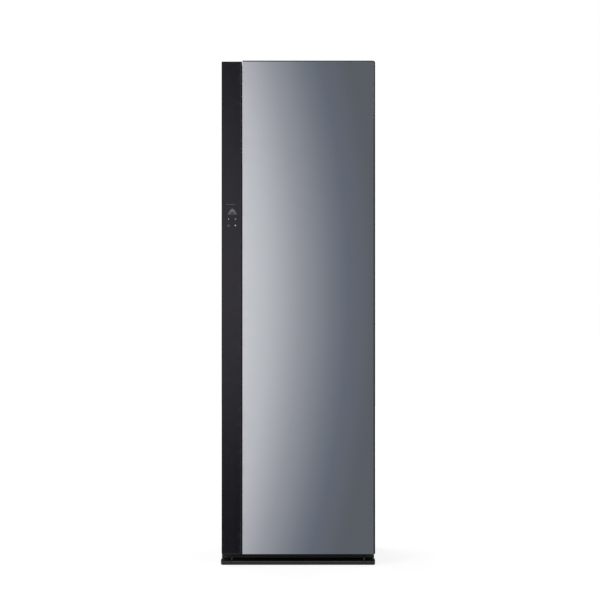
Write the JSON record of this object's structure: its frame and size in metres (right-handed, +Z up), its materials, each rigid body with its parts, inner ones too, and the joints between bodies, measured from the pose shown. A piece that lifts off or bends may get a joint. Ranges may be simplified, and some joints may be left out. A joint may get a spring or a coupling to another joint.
{
  "type": "clothes care steam cabinet",
  "caption": "Tall narrow steam cabinet for garments: mirrored hinged door, fixed black glass control column, moving hanger bar, trouser press and pull-out water tanks.",
  "frame": {"origin": "on the floor, under the middle of the cabinet's outline", "axes": "+Z up, +X to the right seen from the front, +Y to the back; the door faces -Y"},
  "size_m": [0.6, 0.62, 1.96],
  "materials": {
    "mirror_glass": "polished",
    "black_glass": "gloss",
    "dark_paint": "satin",
    "dark_trim": "satin",
    "black_plastic": "satin",
    "frame_plastic": "satin",
    "liner_plastic": "satin",
    "grey_plastic": "satin",
    "tank_plastic": "gloss",
    "seal_rubber": "matte",
    "foot_rubber": "matte",
    "zinc_steel": "satin",
    "stainless": "satin",
    "compressor_black": "satin",
    "coil_aluminium": "satin",
    "core_foam": "matte",
    "lamp_lens": "satin",
    "circuit_board": "satin"
  },
  "bodies": {
    "cabinet": {"base_frame": "zinc_steel", "plinth_strip": "dark_trim", "foot_cover_left": "black_plastic", "foot_cover_right": "black_plastic", "side_panel_left": "dark_paint", "side_panel_right": "dark_paint", "top_panel": "dark_paint", "rear_panel_upper": "zinc_steel", "rear_panel_lower": "zinc_steel", "mains_gland": "black_plastic", "front_frame": "frame_plastic", "control_column": "black_plastic", "control_glass": "black_glass", "control_board": "circuit_board", "hinge_plate_upper": "zinc_steel", "hinge_plate_lower": "dark_paint", "hinge_cover": "black_plastic", "inner_liner": "liner_plastic", "chamber_lamp": "lamp_lens", "air_outlet": "black_plastic", "steam_nozzle": "black_plastic", "guide_rail_left": "grey_plastic", "guide_rail_right": "grey_plastic", "motor_bridge": "zinc_steel", "drive_motor": "stainless", "tank_fascia": "frame_plastic", "compressor": "compressor_black", "coil_pack": "coil_aluminium", "blower_housing": "grey_plastic", "air_duct": "grey_plastic", "steam_generator": "stainless", "steam_hose": "seal_rubber", "rear_foot_left": "foot_rubber", "rear_foot_right": "foot_rubber"},
    "foot_left": {"front_foot_left": "foot_rubber"},
    "foot_right": {"front_foot_right": "foot_rubber"},
    "door": {"door_glass": "mirror_glass", "door_handle_rail": "dark_trim", "door_side_trim": "dark_trim", "door_cap_top": "dark_trim", "door_cap_bottom": "dark_trim", "door_inner_panel": "liner_plastic", "door_core": "core_foam", "door_seal": "seal_rubber", "press_board": "frame_plastic"},
    "trouser_press": {"press_leaf": "grey_plastic"},
    "moving_hanger": {"slider_beam": "grey_plastic", "hanger_bar": "stainless"},
    "hanger_1": {"garment_hanger_1": "black_plastic"},
    "hanger_2": {"garment_hanger_2": "black_plastic"},
    "hanger_3": {"garment_hanger_3": "black_plastic"},
    "crank": {"crank_disc": "zinc_steel"},
    "blower": {"blower_wheel": "black_plastic"},
    "shelf": {"garment_shelf": "frame_plastic"},
    "filter": {"lint_filter": "grey_plastic"},
    "scent": {"scent_case": "grey_plastic"},
    "supply": {"supply_tank": "tank_plastic", "supply_tank_lid": "black_plastic"},
    "drain": {"drain_tank": "tank_plastic", "drain_tank_lid": "black_plastic"}
  },
  "joints": [
    {"name": "door_swing", "type": "hinge", "parent": "cabinet", "child": "door", "pos_m": [0.287, -0.264, 1], "axis": [0, 0, 1], "range_deg": [0, 120]},
    {"name": "press_swing", "type": "hinge", "parent": "door", "child": "trouser_press", "pos_m": [0.204, -0.2227, 1.04], "axis": [0, 0, -1], "range_deg": [0, 85]},
    {"name": "hanger_shake", "type": "slide", "parent": "cabinet", "child": "moving_hanger", "axis": [1, 0, 0], "range_m": [-0.02, 0.02]},
    {"name": "hanger_1_rock", "type": "hinge", "parent": "moving_hanger", "child": "hanger_1", "pos_m": [-0.037, -0.015, 1.8], "axis": [1, 0, 0], "range_deg": [-10, 10]},
    {"name": "hanger_2_rock", "type": "hinge", "parent": "moving_hanger", "child": "hanger_2", "pos_m": [0.033, -0.015, 1.8], "axis": [1, 0, 0], "range_deg": [-10, 10]},
    {"name": "hanger_3_rock", "type": "hinge", "parent": "moving_hanger", "child": "hanger_3", "pos_m": [0.103, -0.015, 1.8], "axis": [1, 0, 0], "range_deg": [-10, 10]},
    {"name": "crank_spin", "type": "hinge", "parent": "cabinet", "child": "crank", "pos_m": [0.033, -0.015, 1.905], "axis": [0, 0, 1], "continuous": true},
    {"name": "blower_spin", "type": "hinge", "parent": "cabinet", "child": "blower", "pos_m": [-0.005, 0.064, 0.33], "axis": [0, 0, 1], "continuous": true},
    {"name": "shelf_lift", "type": "slide", "parent": "cabinet", "child": "shelf", "axis": [0, 0, 1], "range_m": [0, 0.06]},
    {"name": "filter_lift", "type": "slide", "parent": "cabinet", "child": "filter", "axis": [0, 0, 1], "range_m": [0, 0.125]},
    {"name": "scent_lift", "type": "slide", "parent": "cabinet", "child": "scent", "axis": [0, 0, 1], "range_m": [0, 0.05]},
    {"name": "supply_tank_slide", "type": "slide", "parent": "cabinet", "child": "supply", "axis": [0, -1, 0], "range_m": [0, 0.1571]},
    {"name": "drain_tank_slide", "type": "slide", "parent": "cabinet", "child": "drain", "axis": [0, -1, 0], "range_m": [0, 0.1571]},
    {"name": "foot_left_turn", "type": "hinge", "parent": "cabinet", "child": "foot_left", "pos_m": [-0.28, -0.275, 0.01], "axis": [0, 0, 1], "continuous": true},
    {"name": "foot_right_turn", "type": "hinge", "parent": "cabinet", "child": "foot_right", "pos_m": [0.28, -0.275, 0.01], "axis": [0, 0, 1], "continuous": true}
  ],
  "couplings": [
    {"joint": "supply_tank_slide", "follows": "door_swing", "m_per_rad": 0.075},
    {"joint": "drain_tank_slide", "follows": "door_swing", "m_per_rad": 0.075}
  ]
}
